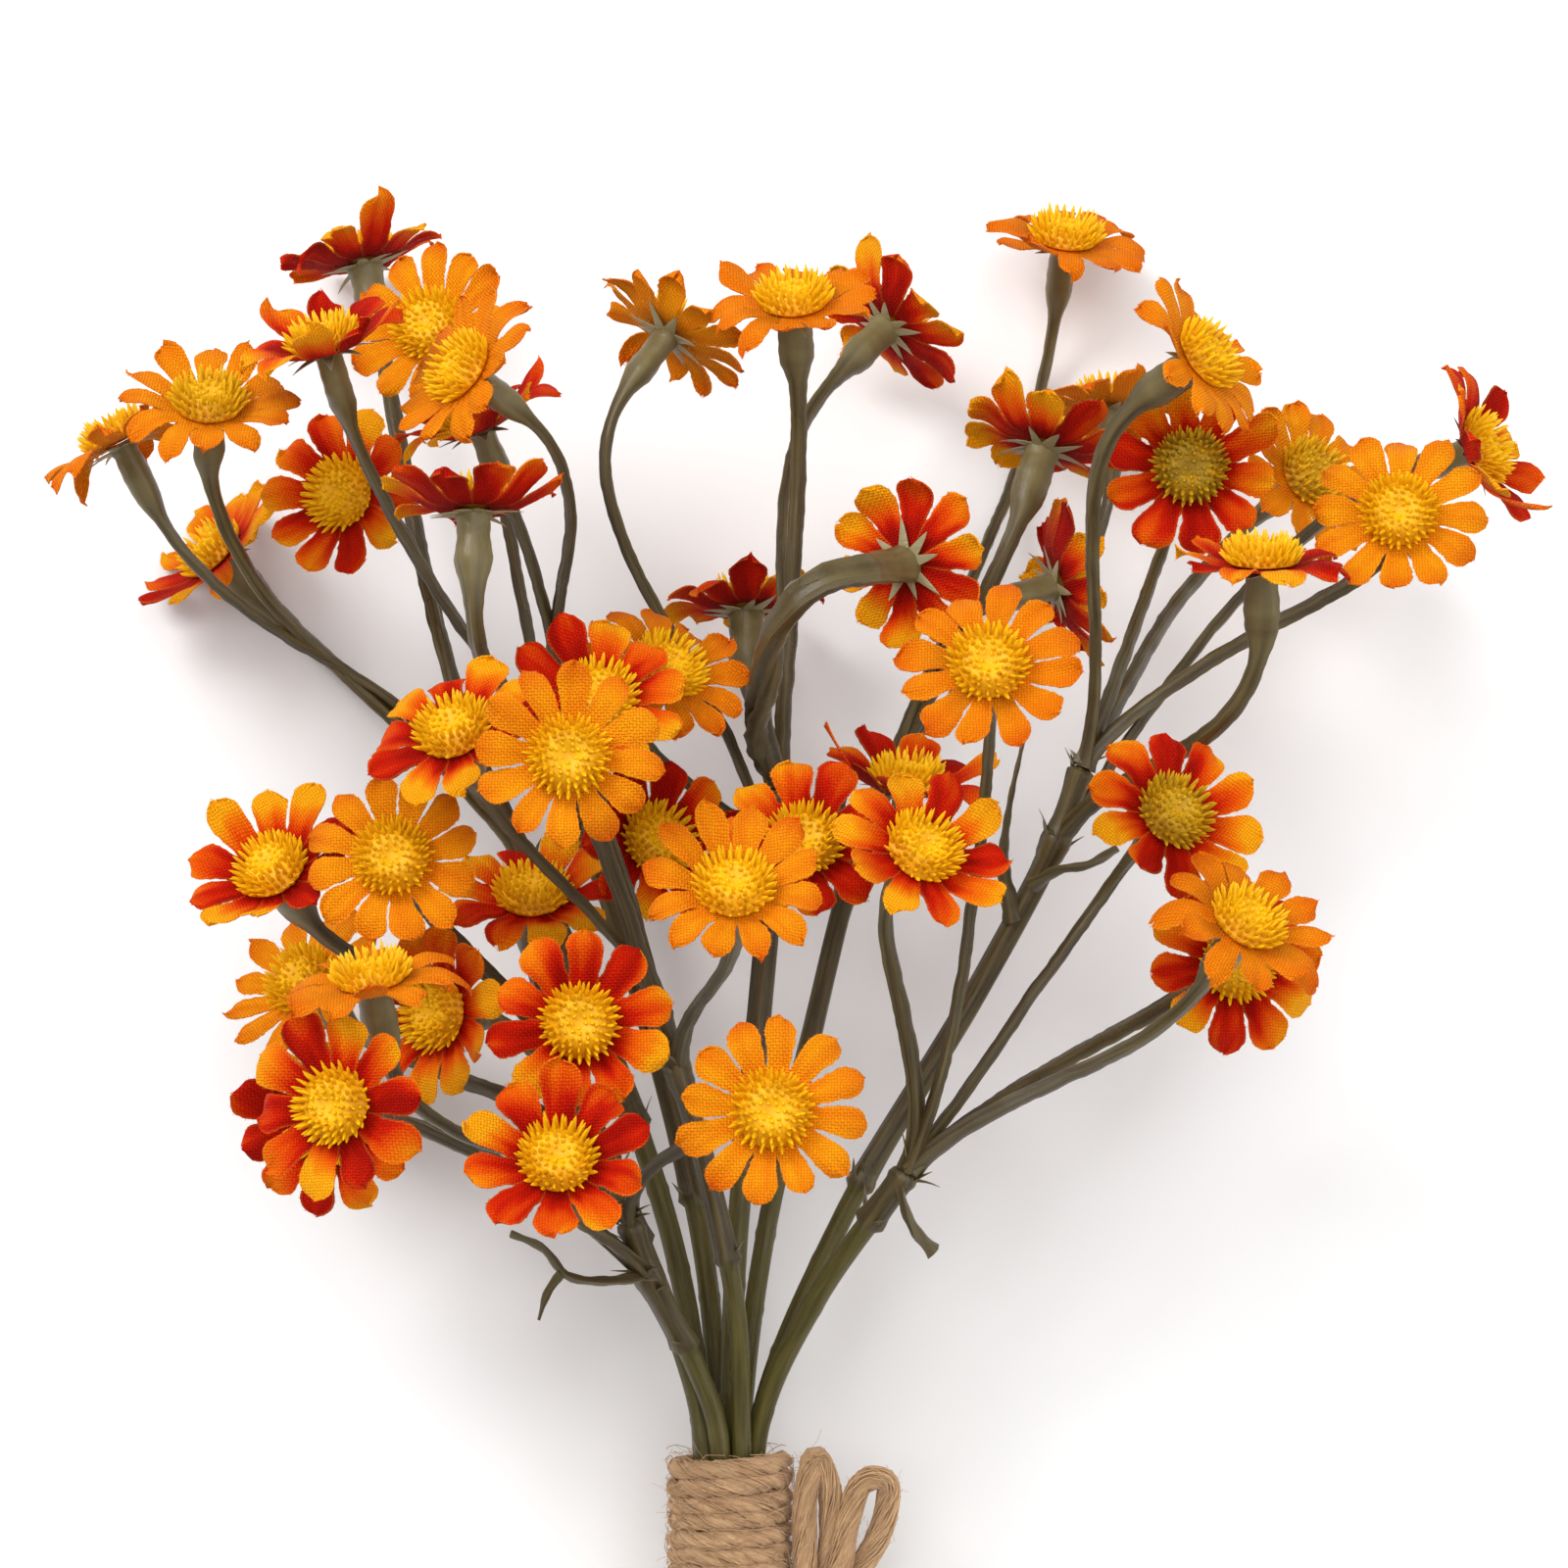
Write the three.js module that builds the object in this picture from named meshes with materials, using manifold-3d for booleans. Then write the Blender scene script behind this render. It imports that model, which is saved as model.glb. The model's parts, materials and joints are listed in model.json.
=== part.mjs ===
// A tied bunch of artificial daisies, lying on its back on a flat surface. Millimetres, +Z up.
//
// Nine moulded stems run side by side through a handle wound with twine. Each stem forks into thin
// branches, each branch ends in a green cup (the calyx), and on each cup sits one head: a ring of cloth
// petals round a spiky yellow button. A bow of the same twine is tied on the handle's right-hand side.
//
// The bunch is drawn in its own frame: the handle's axis is +Y, the origin is the middle of the
// winding's upper end, +X is to the right and +Z is towards whoever looks at the flowers. At the end it
// is tipped by LAY_ANGLE about X, so that the cut stem ends and the rearmost heads come down on the
// surface, and its box is centred on the origin.

import * as THREE from "three";
import { mergeVertices } from "three/addons/utils/BufferGeometryUtils.js";
import Module from "manifold-3d";

// ---------- driving dimensions ----------

const LAY_ANGLE = THREE.MathUtils.degToRad(13.2);
const GAP = 0.3; // between pieces that touch in the real bunch

const HEAD_D = 25; // across the petal tips
const PETALS = 12;
const PETAL_THICK = 0.8;
const PETAL_RISE = 2.6; // how far the tips stand above the hub
const NOTCH_D = 12.4; // across the bottoms of the notches between petals
const BUTTON_D = 10.4;
const BUTTON_HEIGHT = 5.2;
const BUTTON_SIDES = 6; // half of PETALS, so that a head looks the same every 60 degrees

const CALYX_D = 5.2;
const CALYX_LENGTH = 12;
const BRANCH_D = 2.1;
const STEM_D = 3;
const KNUCKLE_D = 4.4;
const SLOT_PITCH = 3.3; // from one stem to the next inside the handle

const TWINE_D = 2.6;
const KNOT_D = 5.4;
const WRAP_TURNS = 16;
const WRAP_PLAY = 0.35; // between the outer stems and the winding
const STEM_ENDS = 20; // how far the cut stems stick out below the winding

const CROWN_SCALE = HEAD_D / 25; // bigger heads need the whole crown to open out with them
const RING_STEMS = 8;
const SLOT_RING_R = SLOT_PITCH / (2 * Math.sin(Math.PI / RING_STEMS));
const WRAP_INNER_R = SLOT_RING_R + STEM_D / 2 + WRAP_PLAY;
const WRAP_OUTER_R = WRAP_INNER_R + TWINE_D;
const WRAP_LENGTH = WRAP_TURNS * TWINE_D;

// ---------- the bunch: every stem, its forks and its flowers ----------

// slot is the stem's place inside the handle: its turn round the ring in eighths, or null for the
// middle. via and forks are points that the stem passes through. The low flowers leave its first fork
// and the top ones its second: at is the middle of a flower's petals, faces the way that it looks, and
// dye the colour of its cloth.
const STEMS = {
  a: {
    slot: 0.5,
    via: [[12, 22, 9]],
    forks: [[25, 41, 18]],
    low: [
      { at: [26, 85, 38], faces: [0.35, 0.5, 0.79], dye: "red" },
      { at: [61, 90, 23], faces: [0.35, 0.4, 0.85], dye: "red" },
      { at: [70, 75, 36], faces: [0.4, 0.68, 0.61], dye: "orange" },
      { at: [71, 69, 8], faces: [0.15, 0.15, 0.98], dye: "red" },
      { at: [35, 110, 50], faces: [-0.05, 0.35, 0.93], dye: "orange" },
    ],
  },
  b: {
    slot: -0.5,
    via: [[16, 33, -1], [35, 65, -2]],
    forks: [[46, 86, 0], [50, 97, 0]],
    low: [
      { at: [106, 142, -6], faces: [0.85, 0.3, 0.43], dye: "red" },
      { at: [73, 124, 30], faces: [0, 0.97, 0.24], dye: "red" },
    ],
    top: [
      { at: [65, 153, 20], faces: [0.72, 0.48, 0.5], dye: "orange" },
      { at: [65, 139, 2], faces: [0, 0.1, 0.99], dye: "red" },
      { at: [84, 139, -27], faces: [0.5, 0.4, 0.77], dye: "orange" },
      { at: [93.5, 132, 12], faces: [-0.1, 0.25, 0.96], dye: "orange" },
    ],
  },
  c: {
    slot: 2.5,
    via: [[-5, 13, 6]],
    forks: [[-11, 25, 11], [-14, 34, 15]],
    low: [
      { at: [-52, 51.5, 50], faces: [-0.35, 0.1, 0.93], dye: "red" },
      { at: [-56, 46.5, 12], faces: [-0.25, -0.1, 0.96], dye: "red" },
      { at: [-22.5, 44, 50], faces: [0, 0.48, 0.88], dye: "red" },
    ],
    top: [
      { at: [-47.5, 67.5, 46], faces: [-0.15, 0.93, 0.33], dye: "orange" },
      { at: [6, 51.5, 66], faces: [0, 0.15, 0.99], dye: "orange" },
    ],
  },
  d: {
    slot: 3.5,
    via: [[-8, 18, 2]],
    forks: [[-17, 40, -2], [-22, 52, -2]],
    low: [
      { at: [-61, 65.5, -12], faces: [-0.5, 0.55, 0.67], dye: "orange" },
      { at: [-40, 62.5, 16], faces: [-0.6, 0.1, 0.79], dye: "red" },
    ],
    top: [
      { at: [-46, 84, 26], faces: [-0.05, 0.25, 0.97], dye: "orange" },
      { at: [-63, 82, 17], faces: [-0.35, 0.6, 0.72], dye: "red" },
      { at: [-28, 78, 2], faces: [0, 0.8, 0.6], dye: "red" },
    ],
  },
  e: {
    slot: 4.5,
    via: [[-8, 28, -7], [-19, 60, -13]],
    forks: [[-29, 82, -15], [-35, 94, -15]],
    low: [
      { at: [-73, 147, 8], faces: [0.05, 0.8, 0.6], dye: "orange" },
      { at: [-76, 128, -40], faces: [-0.65, 0.65, 0.38], dye: "red" },
    ],
    top: [
      { at: [-87, 143, -8], faces: [-0.45, 0.89, 0], dye: "orange" },
      { at: [-55.5, 136, -15], faces: [-0.45, 0.15, 0.88], dye: "red" },
      { at: [-55, 172, -46], faces: [-0.22, 0.95, -0.2], dye: "red" },
    ],
  },
  f: {
    slot: null,
    via: [[1, 30, 0], [4, 60, -4]],
    forks: [[6, 82, -7], [7, 94, -8]],
    low: [
      { at: [-9, 110, 8], faces: [0.4, 0.6, 0.7], dye: "orange" },
      { at: [-9, 159, -12], faces: [0.55, 0.75, -0.35], dye: "orange" },
    ],
    top: [
      { at: [9, 162, 0], faces: [-0.05, 0.85, 0.52], dye: "orange" },
      { at: [23, 162, -38], faces: [0.6, 0.6, -0.52], dye: "red" },
      { at: [25, 125.5, 2], faces: [0.52, 0.1, -0.85], dye: "red" },
      { at: [2, 120, -30], faces: [-0.05, 0.95, -0.3], dye: "red" },
    ],
  },
  g: {
    slot: -1.5,
    via: [[5, 30, -8], [12, 60, -13]],
    forks: [[17, 80, -16], [22, 94, -18]],
    low: [
      { at: [10.5, 86, 22], faces: [0, 0.45, 0.89], dye: "red" },
      { at: [25, 94, 0], faces: [0.1, 0.95, 0.3], dye: "red" },
    ],
    top: [
      { at: [49.5, 175, -46], faces: [0.1, 0.88, 0.46], dye: "orange" },
      { at: [45, 143, -16], faces: [0.3, 0.88, -0.35], dye: "red" },
      { at: [56, 150, -41], faces: [0, 0.97, -0.25], dye: "orange" },
      { at: [47, 123, -16], faces: [0.93, 0.25, -0.25], dye: "red" },
    ],
  },
  h: {
    slot: 5.5,
    via: [[-4, 28, -10], [-12, 60, -20]],
    forks: [[-20, 84, -24], [-25, 96, -25]],
    low: [
      { at: [-35.5, 145, -2], faces: [-0.35, 0.9, 0.25], dye: "red" },
      { at: [-56, 155, 15], faces: [-0.25, 0.9, 0.35], dye: "red" },
    ],
    top: [
      { at: [-43, 160, -14], faces: [-0.3, 0.35, 0.88], dye: "orange" },
      { at: [-36, 151, 22], faces: [-0.7, 0.48, 0.53], dye: "orange" },
      { at: [-35, 132, 26], faces: [0, 0.97, -0.22], dye: "red" },
    ],
  },
  i: {
    slot: 1.5,
    via: [[1, 20, 8], [-3, 40, 12]],
    forks: [[-7, 54, 14], [-10, 64, 15]],
    low: [
      { at: [-20, 62, 40], faces: [0.05, 0.12, 0.99], dye: "red" },
      { at: [1, 80, 48], faces: [0, 0.6, 0.8], dye: "orange" },
      { at: [-10.5, 86, 1.5], faces: [0.35, 0.35, 0.87], dye: "red" },
    ],
    top: [
      { at: [-21, 98, 52], faces: [0, 0.05, 1], dye: "orange" },
      { at: [-37, 101, 34], faces: [-0.25, 0.65, 0.72], dye: "red" },
      { at: [-18, 106, 22], faces: [0.1, 0.5, 0.86], dye: "red" },
    ],
  },
};

// ---------- materials ----------

const MATERIALS = {
  orange: new THREE.MeshStandardMaterial({ color: "#f08a12", roughness: 0.85, metalness: 0 }),
  red: new THREE.MeshStandardMaterial({ color: "#cf3a0a", roughness: 0.85, metalness: 0 }),
  stem: new THREE.MeshStandardMaterial({ color: "#5a5134", roughness: 0.45, metalness: 0 }),
  twine: new THREE.MeshStandardMaterial({ color: "#b5895a", roughness: 0.95, metalness: 0 }),
};

// ---------- solids ----------

const wasm = await Module();
wasm.setup();

const vector = ([x, y, z]) => new THREE.Vector3(x, y, z);
const crownPoint = (point) => vector(point).multiplyScalar(CROWN_SCALE);

// A closed three.js geometry as a solid that can be joined and cut.
function solidOf(geometry) {
  const bare = geometry.clone();
  for (const name of ["normal", "uv"]) bare.deleteAttribute(name);
  const merged = mergeVertices(bare, 1e-4);
  return new wasm.Manifold(
    new wasm.Mesh({
      numProp: 3,
      vertProperties: merged.attributes.position.array,
      triVerts: new Uint32Array(merged.index.array),
    }),
  );
}

function geometryOf(solid) {
  const { vertProperties, triVerts } = solid.getMesh();
  const geometry = new THREE.BufferGeometry();
  geometry.setAttribute("position", new THREE.BufferAttribute(vertProperties, 3));
  geometry.setIndex(new THREE.BufferAttribute(triVerts, 1));
  geometry.computeVertexNormals();
  return geometry;
}

const joined = (geometries) => geometries.map(solidOf).reduce((all, next) => all.add(next));

// A round bar along a curve.
function tube(curve, diameter, steps, sides) {
  const section = new THREE.Shape(
    Array.from({ length: sides }, (_, i) => {
      const turn = (2 * Math.PI * i) / sides;
      return new THREE.Vector2(Math.cos(turn), Math.sin(turn)).multiplyScalar(diameter / 2);
    }),
  );
  return new THREE.ExtrudeGeometry(section, { steps, extrudePath: curve, bevelEnabled: false });
}

// Turns a geometry whose axis is +Z so that it points along a direction, and moves it to a point.
function aimed(geometry, direction, point) {
  const turn = new THREE.Quaternion().setFromUnitVectors(new THREE.Vector3(0, 0, 1), direction);
  return geometry.applyQuaternion(turn).translate(point.x, point.y, point.z);
}

// A turned solid about +Z, from its (radius, height) outline.
function turned(outline, sides) {
  const points = outline.map(([radius, height]) => new THREE.Vector2(radius, height));
  return new THREE.LatheGeometry(points, sides).rotateX(Math.PI / 2);
}

// ---------- one flower head: petals and button, facing +Z, the hub's underside at the origin ----------

function petalRing() {
  const pitch = (2 * Math.PI) / PETALS;
  const outline = [];
  for (let i = 0; i < PETALS; i++)
    for (const [share, radius] of [[0, NOTCH_D / 2], [0.16, HEAD_D / 2], [0.84, HEAD_D / 2]]) {
      const turn = (i + share) * pitch;
      outline.push(new THREE.Vector2(Math.cos(turn), Math.sin(turn)).multiplyScalar(radius));
    }
  const ring = new THREE.ExtrudeGeometry(new THREE.Shape(outline), {
    depth: PETAL_THICK,
    bevelEnabled: false,
  });
  const place = ring.attributes.position;
  for (let i = 0; i < place.count; i++) {
    const beyond = Math.hypot(place.getX(i), place.getY(i)) - NOTCH_D / 2;
    place.setZ(i, place.getZ(i) + (Math.max(0, beyond) * 2 * PETAL_RISE) / (HEAD_D - NOTCH_D));
  }
  return ring;
}

function button() {
  const r = BUTTON_D / 2;
  const top = PETAL_THICK + BUTTON_HEIGHT;
  return turned([[0, PETAL_THICK / 2], [r, PETAL_THICK / 2], [r, 0.6 * top], [0.6 * r, top], [0, top]],
    BUTTON_SIDES);
}

const HEAD = geometryOf(joined([petalRing(), button()]));

// ---------- one stem with its branches and cups ----------

function calyx() {
  const [neck, belly, rim] = [0.6 * BRANCH_D, CALYX_D / 2, 0.44 * CALYX_D];
  const [shoulder, top] = [0.35 * CALYX_LENGTH, CALYX_LENGTH];
  return turned([[0, 0], [neck, 0], [belly, shoulder], [rim, top], [0, top]], 6);
}

// The branch's line: it leaves the fork along the stem, and ends inside the cup, along the way the
// flower faces.
function branchCurve(fork, along, socket, faces) {
  const reach = socket.clone().sub(fork);
  const pull = reach.length() * 0.36;
  const leaving = along.clone().add(reach.normalize()).normalize();
  return new THREE.CubicBezierCurve3(
    fork,
    fork.clone().addScaledVector(leaving, pull),
    socket.clone().addScaledVector(faces, -pull),
    socket,
  );
}

function slotPoint(slot, y) {
  if (slot === null) return new THREE.Vector3(0, y, 0);
  const turn = (slot / RING_STEMS) * 2 * Math.PI;
  return new THREE.Vector3(SLOT_RING_R * Math.cos(turn), y, SLOT_RING_R * Math.sin(turn));
}

function stemSolid({ slot, via, forks, low, top = [] }) {
  const [cut, mouth, free] = [-WRAP_LENGTH - STEM_ENDS, 0, 3].map((y) => slotPoint(slot, y));
  const inHandle = new THREE.LineCurve3(cut, free);
  const crown = [...via, ...forks].map(crownPoint);
  const above = new THREE.CatmullRomCurve3([mouth, free, ...crown]);
  const pieces = [tube(inHandle, STEM_D, 1, 6), tube(above, STEM_D, 4 * crown.length, 6)];
  [low, top].forEach((flowers, tier) => {
    if (!flowers.length) return;
    const fork = crownPoint(forks[tier]);
    const before = crownPoint(tier ? forks[tier - 1] : via[via.length - 1]);
    const along = fork.clone().sub(before).normalize();
    pieces.push(aimed(new THREE.SphereGeometry(KNUCKLE_D / 2, 7, 4), along, fork));
    for (const { at, faces } of flowers) {
      const face = vector(faces).normalize();
      const cup = crownPoint(at).addScaledVector(face, -CALYX_LENGTH - GAP);
      const socket = cup.clone().addScaledVector(face, 0.3 * CALYX_LENGTH);
      pieces.push(tube(branchCurve(fork, along, socket, face), BRANCH_D, 6, 5));
      pieces.push(aimed(calyx(), face, cup));
    }
  });
  return joined(pieces);
}

// ---------- twine: the winding and the bow ----------

// The winding's outline: a straight bore, and a ridge for each turn of twine.
function winding() {
  const ridge = [];
  for (let i = 0; i < WRAP_TURNS; i++)
    for (const [share, depth] of [[0, 0.3], [0.3, 0], [0.7, 0]])
      ridge.push([WRAP_OUTER_R - depth * TWINE_D, -(i + share) * TWINE_D]);
  const bore = [[WRAP_INNER_R, -WRAP_LENGTH], [WRAP_INNER_R, 0]];
  const outline = [...ridge, ...bore, ridge[0]].map(([r, y]) => new THREE.Vector2(r, y));
  return new THREE.LatheGeometry(outline.reverse(), 12);
}

// The bow's knot sits on the handle's right-hand side. Its loops stand up beside the winding, and its
// ends fall to the surface that the bunch lies on.
const KNOT = new THREE.Vector3(WRAP_OUTER_R + KNOT_D / 2 + GAP, -24, 1.5);
const BOW = {
  inner_loop: [[0, 0, 0], [-0.6, 8, 1.6], [-0.4, 19, 2], [1.2, 23.4, 1.8], [3.2, 19, 0.8], [3, 8, -0.2],
    [0.6, 0.5, -0.6]],
  outer_loop: [[0.4, 0, 0], [4.6, 7, 1], [6, 14, 1.6], [8.6, 20, 1.2], [12, 20, 0.6], [12, 15, -0.2],
    [8.8, 8.4, -1], [0.8, 0, -0.6]],
  inner_end: [[0, 0, 0], [0.8, -7, -1.6], [1.8, -14, -4.6], [3, -21, -6.6]],
  outer_end: [[0.4, 0, 0], [5.4, -4.6, -1.6], [9.6, -9.4, -5], [13, -14.4, -8.4], [16.4, -19, -8.8]],
};

function bow() {
  const knot = new THREE.SphereGeometry(KNOT_D / 2, 8, 6).translate(...KNOT);
  const strands = Object.values(BOW).map((route) => {
    const line = new THREE.CatmullRomCurve3(route.map((p) => vector(p).add(KNOT)));
    return tube(line, TWINE_D, 3 * (route.length - 1), 6);
  });
  return joined([knot, ...strands]);
}

// ---------- assembly ----------

const bunch = new THREE.Group();

function place(name, geometry, material) {
  const mesh = new THREE.Mesh(geometry, material);
  mesh.name = name;
  bunch.add(mesh);
  return mesh;
}

for (const [letter, stem] of Object.entries(STEMS)) {
  place(`stem_${letter}`, geometryOf(stemSolid(stem)), MATERIALS.stem);
  for (const tier of ["low", "top"])
    (stem[tier] ?? []).forEach(({ at, faces, dye }, i) => {
      const head = place(`daisy_${letter}_${tier}_${i + 1}`, HEAD, MATERIALS[dye]);
      head.position.copy(crownPoint(at));
      head.quaternion.setFromUnitVectors(new THREE.Vector3(0, 0, 1), vector(faces).normalize());
    });
}
place("twine_winding", winding(), MATERIALS.twine);
place("twine_bow", geometryOf(bow()), MATERIALS.twine);

bunch.rotation.x = LAY_ANGLE;
const box = new THREE.Box3().setFromObject(bunch, true);
bunch.position.set(-(box.min.x + box.max.x) / 2, -(box.min.y + box.max.y) / 2, -box.min.z);

const part = new THREE.Group();
part.add(bunch);

export default part;
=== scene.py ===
import bpy
import json
import math
import numpy as np
from mathutils import Matrix


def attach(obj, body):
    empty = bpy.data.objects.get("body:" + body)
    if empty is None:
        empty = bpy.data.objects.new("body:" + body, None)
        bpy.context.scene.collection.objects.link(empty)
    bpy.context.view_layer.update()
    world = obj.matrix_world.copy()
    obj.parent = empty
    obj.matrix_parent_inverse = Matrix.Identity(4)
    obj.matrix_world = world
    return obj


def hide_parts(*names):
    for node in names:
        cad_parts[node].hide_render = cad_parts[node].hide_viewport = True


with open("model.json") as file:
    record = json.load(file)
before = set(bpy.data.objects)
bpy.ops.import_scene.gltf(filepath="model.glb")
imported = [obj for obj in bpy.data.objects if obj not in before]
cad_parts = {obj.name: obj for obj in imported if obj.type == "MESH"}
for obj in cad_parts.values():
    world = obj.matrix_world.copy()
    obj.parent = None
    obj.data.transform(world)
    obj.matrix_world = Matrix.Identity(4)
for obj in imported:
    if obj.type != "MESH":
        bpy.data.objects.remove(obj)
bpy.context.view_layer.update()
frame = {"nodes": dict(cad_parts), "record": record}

# ---------- the bunch's own axes, and the camera ----------
# The bunch lies on its back, tipped a little so that its stem ends and rearmost flowers touch the surface.
# Pieces are drawn in millimetres in its own axes, from the middle of the winding's upper end: X to the right,
# Y up the handle towards the flowers, and Z up towards the camera, which looks straight down Z.

VIEW_DISTANCE = 875
VIEW_WIDTH = 222
VIEW_MIDDLE = (7.64, 94.4)


def node_points(name):
    """The separate corners of a CAD node, in metres."""
    vertices = frame["nodes"][name].data.vertices
    points = np.empty(len(vertices) * 3)
    vertices.foreach_get("co", points)
    return np.unique(points.reshape(-1, 3).round(6), axis=0)


winding = node_points("twine_winding")
winding_middle = winding.mean(0)
up_handle = np.linalg.svd(winding - winding_middle)[2][0]
up_handle *= np.sign(up_handle[1])
rightward = np.array([1.0, 0.0, 0.0])
BUNCH_AXES = np.array([rightward, up_handle, np.cross(rightward, up_handle)])
BUNCH_ORIGIN = winding_middle + up_handle * ((winding - winding_middle) @ up_handle).max()


def to_row(points):
    """Points in the bunch's axes and millimetres, in the frame's axes and metres."""
    return np.asarray(points, float) / 1000 @ BUNCH_AXES + BUNCH_ORIGIN


def to_bunch(points):
    return (np.asarray(points, float) - BUNCH_ORIGIN) @ BUNCH_AXES.T * 1000


camera = bpy.data.objects.new("camera", bpy.data.cameras.new("camera"))
bpy.context.scene.collection.objects.link(camera)
camera.data.sensor_width = 36
camera.data.lens = 36 * VIEW_DISTANCE / VIEW_WIDTH
camera.data.clip_end = 20
camera_place = to_row([*VIEW_MIDDLE, VIEW_DISTANCE])
camera.matrix_world = Matrix.Translation(camera_place) @ Matrix(BUNCH_AXES.T.tolist()).to_4x4()
bpy.context.scene.camera = camera

# ---------- moulded stems ----------
# Each stem is a green plastic rod with a darker moulded spray pushed over its end: forks, five or six grooved
# branches, and a cup with pointed sepals at the end of each branch. Rod and spray are one piece here.

# the points that the solid stems follow: the place in the handle in eighths of a turn, then the forks
STEM_ROUTES = {
    "a": (0.5, [[12, 22, 9]], [[25, 41, 18]]),
    "b": (-0.5, [[16, 33, -1], [35, 65, -2]], [[46, 86, 0], [50, 97, 0]]),
    "c": (2.5, [[-5, 13, 6]], [[-11, 25, 11], [-14, 34, 15]]),
    "d": (3.5, [[-8, 18, 2]], [[-17, 40, -2], [-22, 52, -2]]),
    "e": (4.5, [[-8, 28, -7], [-19, 60, -13]], [[-29, 82, -15], [-35, 94, -15]]),
    "f": (None, [[1, 30, 0], [4, 60, -4]], [[6, 82, -7], [7, 94, -8]]),
    "g": (-1.5, [[5, 30, -8], [12, 60, -13]], [[17, 80, -16], [22, 94, -18]]),
    "h": (5.5, [[-4, 28, -10], [-12, 60, -20]], [[-20, 84, -24], [-25, 96, -25]]),
    "i": (1.5, [[1, 20, 8], [-3, 40, 12]], [[-7, 54, 14], [-10, 64, 15]]),
}
# how high up each rod its spray is pushed on
COLLARS = {"a": 33, "b": 37, "c": 15, "d": 29, "e": 45, "f": 39, "g": 48, "h": 34, "i": 27}
# thick branches that bend over on their way to a flower
BENT = {"daisy_f_top_3": [[4, 104, 0], [4.6, 111, 8], [8, 118.6, 13.5], [13.5, 123.0, 15]]}
# short cut-off twigs: the stem they leave, the way they go, and how thick they are at each end
TWIGS = [
    ("a", [[23.4, 39, 18], [24.6, 35, 18.4], [26.2, 32, 17.8], [28.4, 29.4, 17]], 0.75, 0.95),
    ("c", [[-10.5, 26, 12], [-17, 25.2, 14], [-22.5, 25.8, 13.5], [-26, 29.6, 13], [-30.5, 31.6, 12]],
     1.0, 0.55),
    ("c", [[-23.4, 26.3, 13.6], [-25.4, 23.4, 13], [-26.6, 19.6, 12.4]], 0.6, 0.2),
    ("b", [[42.5, 80, 1.5], [46.2, 82.2, 3.4], [50.4, 83.0, 4.4], [54.6, 85.4, 4.2]], 0.9, 0.7),
    ("b", [[40, 75, 0], [38.6, 83, 2.4], [39.4, 91, 3.2], [41.6, 101.5, 3]], 1.0, 0.3),
    ("g", [[17, 82, -16], [15.8, 89, -13], [16.6, 95, -11]], 0.9, 0.4),
    ("i", [[-7, 54, 14], [-10.2, 60, 17], [-10.8, 66, 19]], 0.9, 0.3),
]
SLOT_RING_R = 3.3 / (2 * math.sin(math.pi / 8))
HANDLE_FOOT = -61.6
ROD_R = 1.5
SPRAY_R = 1.5
BRANCH_R = 0.92
CUP_LENGTH = 12
HUB_GAP = 0.3
HEAD_DEPTH = 6.0  # from a solid head's underside to its button's top
# how wide the end of a branch is, by the distance from the cup's rim
CUP_DISTANCES = [0.0, 0.35, 1.2, 3.5, 6.0, 8.0, 9.5, 11.5, 14.0]
CUP_RADII = [2.2, 2.42, 2.08, 2.12, 2.28, 2.05, 1.62, 1.15, BRANCH_R]
STEM_BROWN = (0.058, 0.038, 0.013)
STEM_OLIVE = (0.130, 0.096, 0.034)
CUP_OLIVE = (0.205, 0.168, 0.070)
ROD_GREEN = (0.062, 0.050, 0.009)
ROD_PALE = (0.135, 0.108, 0.022)
SEPAL_PALE = (0.36, 0.31, 0.17)
# near-black colour, painted as shade into the bottoms of the grooves
GROOVE_PAINTED_SHADE = (0.016, 0.011, 0.005)

rng = np.random.default_rng(7)


def flower_frame(name):
    """Where a head's underside is, the way it faces and its radius, in the bunch's axes, from its solid."""
    points = to_bunch(node_points(name))
    arms = points - points.mean(0)
    face = np.linalg.svd(arms)[2][2]
    off_axis = np.linalg.norm(arms - np.outer(arms @ face, face), axis=1)
    apex = points[off_axis.argmin()]
    face *= np.sign((apex - points.mean(0)) @ face)
    return apex - face * HEAD_DEPTH, face, off_axis.max()


FLOWERS = {name: flower_frame(name) for name in sorted(frame["nodes"]) if name.startswith("daisy")}


def smooth_curve(points, step):
    """Evenly spaced points on a Catmull-Rom curve through the points."""
    points = np.asarray(points, float)
    gaps = np.linalg.norm(np.diff(points, axis=0), axis=1) ** 0.5
    first = points[0] - (points[1] - points[0])
    last = points[-1] + (points[-1] - points[-2])
    chain = np.vstack([first, points, last])
    gaps = np.concatenate([gaps[:1], gaps, gaps[-1:]])
    dense = []
    for i in range(len(points) - 1):
        p0, p1, p2, p3 = chain[i : i + 4]
        g0, g1, g2 = gaps[i : i + 3]
        m1 = (p1 - p0) / g0 - (p2 - p0) / (g0 + g1) + (p2 - p1) / g1
        m2 = (p2 - p1) / g1 - (p3 - p1) / (g1 + g2) + (p3 - p2) / g2
        t = np.linspace(0, 1, 24, endpoint=False)[:, None]
        dense.append(
            (2 * t**3 - 3 * t**2 + 1) * p1
            + (t**3 - 2 * t**2 + t) * m1 * g1
            + (3 * t**2 - 2 * t**3) * p2
            + (t**3 - t**2) * m2 * g1
        )
    return evenly(np.vstack([*dense, points[-1:]]), step)


def evenly(points, step):
    """The same line with its points a step apart."""
    run = np.concatenate([[0], np.cumsum(np.linalg.norm(np.diff(points, axis=0), axis=1))])
    places = np.linspace(0, run[-1], max(3, int(run[-1] / step) + 1))
    return np.column_stack([np.interp(places, run, points[:, k]) for k in range(3)])


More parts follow.
